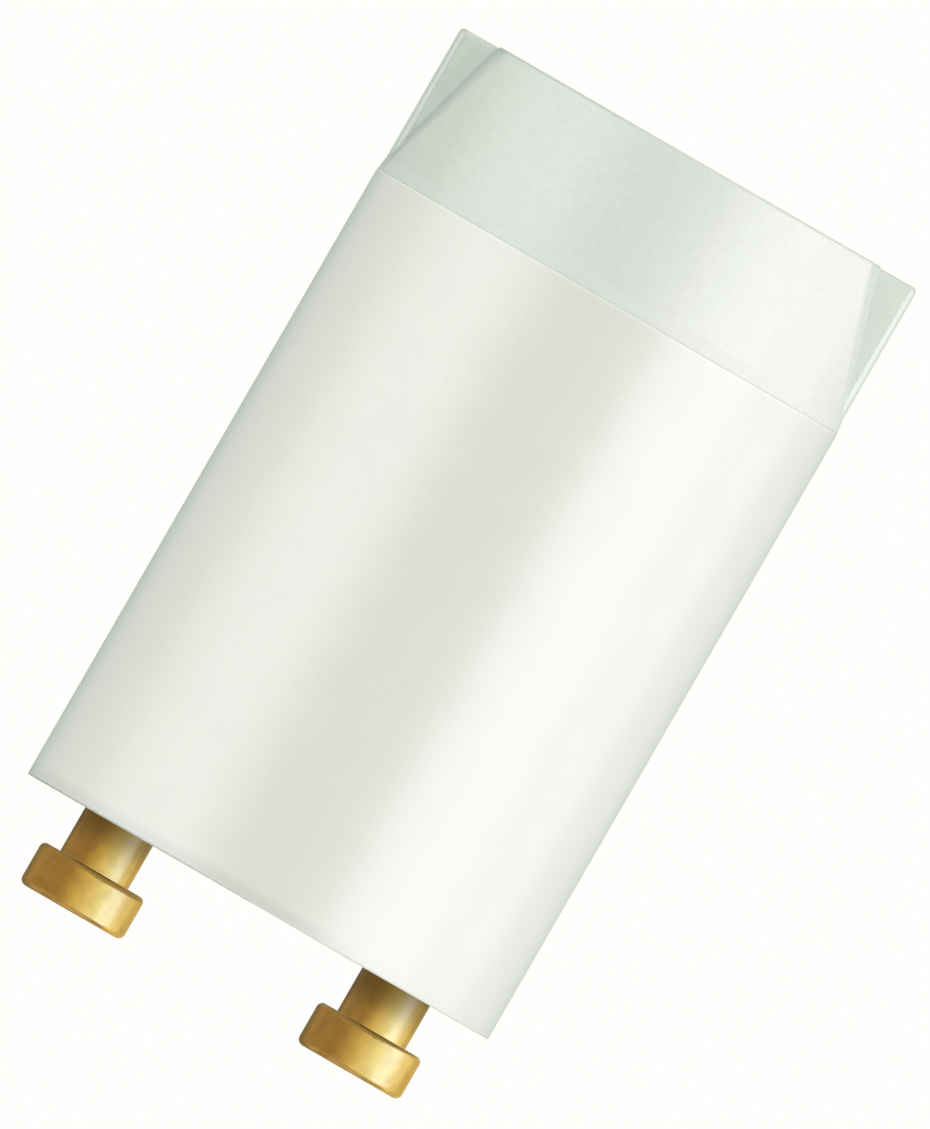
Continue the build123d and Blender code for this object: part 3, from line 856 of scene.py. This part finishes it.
def studio_world(look):
    """Soft light from all around. Gloss shows it white above and below, and dark where the lamps stand."""
    world = bpy.data.worlds.new("Studio")
    bpy.context.scene.world = world
    world.use_nodes = True
    world.node_tree.nodes.clear()
    s = Sockets(world.node_tree)
    rays = s.node("ShaderNodeLightPath").outputs
    direction = s.node("ShaderNodeTexCoord").outputs["Generated"]
    steepness = s.maths("ABSOLUTE", s.node("ShaderNodeSeparateXYZ", Vector=direction).outputs["Z"])
    ambient = shaded(look.ambient_colour, look.ambient_strength)
    gloss = s.mix(s.ramp(steepness, *DARK_BELT), BLACK, DOME_COLOUR)
    gloss = s.mix(s.ramp(steepness, *BRIGHT_TOP), gloss, look.backdrop_colour)
    colour = s.mix(rays["Is Glossy Ray"], ambient, gloss)
    seen = s.maths("MAXIMUM", rays["Is Camera Ray"], rays["Is Transmission Ray"])
    colour = s.mix(seen, colour, look.backdrop_colour)
    light = s.node("ShaderNodeBackground", Color=colour, Strength=1.0)
    s.node("ShaderNodeOutputWorld", Surface=light.outputs[0])


def camera(look):
    """A level camera without perspective, rolled so that the starter lies across the picture."""
    data = bpy.data.cameras.new("camera")
    data.type = "ORTHO"
    data.ortho_scale = PHOTO_HEIGHT / PHOTO_PIXELS_PER_MM * MM
    made = bpy.data.objects.new("camera", data)
    roll = look.camera_roll
    right = Vector((math.cos(roll), 0, -math.sin(roll)))
    up = Vector((math.sin(roll), 0, math.cos(roll)))
    turn = Matrix((right, up, Vector((0, -1, 0)))).transposed().to_4x4()
    across = (PHOTO_CENTRE_X - PHOTO_WIDTH / 2) / PHOTO_PIXELS_PER_MM * MM
    down = (PHOTO_CENTRE_Y - PHOTO_HEIGHT / 2) / PHOTO_PIXELS_PER_MM * MM
    aim = MIDDLE - right * across + up * down
    made.matrix_world = Matrix.Translation(aim + Vector((0, -CAMERA_DISTANCE, 0))) @ turn
    bpy.context.scene.collection.objects.link(made)
    bpy.context.scene.camera = made


class STARTER_OT_stage(bpy.types.Operator):
    """Set up the floor, lamps, backdrop and camera"""

    bl_idname = "starter.stage"
    bl_label = "Studio"

    def execute(self, context):
        look = context.scene.starter_studio
        floor(look)
        lamps(look)
        studio_world(look)
        camera(look)
        context.scene.view_settings.view_transform = "Standard"
        return {"FINISHED"}


PROPERTY_GROUPS = {
    "starter_can": CanFinish,
    "starter_pins": PinFinish,
    "starter_inside": InsideFinish,
    "starter_studio": StudioSetup,
}
OPERATORS = (
    STARTER_OT_can,
    STARTER_OT_contact_pins,
    STARTER_OT_base_plate,
    STARTER_OT_glow_bulb,
    STARTER_OT_capacitor,
    STARTER_OT_leads,
    STARTER_OT_stage,
)


class STARTER_PT_panel(bpy.types.Panel):
    """The starter's pieces and their finishes"""

    bl_idname = "STARTER_PT_panel"
    bl_label = "Glow Starter"
    bl_space_type = "VIEW_3D"
    bl_region_type = "UI"
    bl_category = "Starter"

    def draw(self, context):
        for key, group in PROPERTY_GROUPS.items():
            box = self.layout.box()
            for name in group.__annotations__:
                box.prop(getattr(context.scene, key), name)
        for operator in OPERATORS:
            self.layout.operator(operator.bl_idname)


def register():
    """Registers the classes and puts the finishes on the scene."""
    for group in PROPERTY_GROUPS.values():
        bpy.utils.register_class(group)
    for operator in OPERATORS:
        bpy.utils.register_class(operator)
    bpy.utils.register_class(STARTER_PT_panel)
    for key, group in PROPERTY_GROUPS.items():
        setattr(bpy.types.Scene, key, bpy.props.PointerProperty(type=group))


def unregister():
    """Takes the classes and the finishes away again."""
    for key in PROPERTY_GROUPS:
        delattr(bpy.types.Scene, key)
    bpy.utils.unregister_class(STARTER_PT_panel)
    for made in (*reversed(OPERATORS), *PROPERTY_GROUPS.values()):
        bpy.utils.unregister_class(made)


def main():
    """Builds every piece and the studio."""
    register()
    bpy.ops.starter.can()
    bpy.ops.starter.contact_pins()
    bpy.ops.starter.base_plate()
    bpy.ops.starter.glow_bulb()
    bpy.ops.starter.capacitor()
    bpy.ops.starter.leads()
    bpy.ops.starter.stage()


if __name__ == "__main__":
    main()
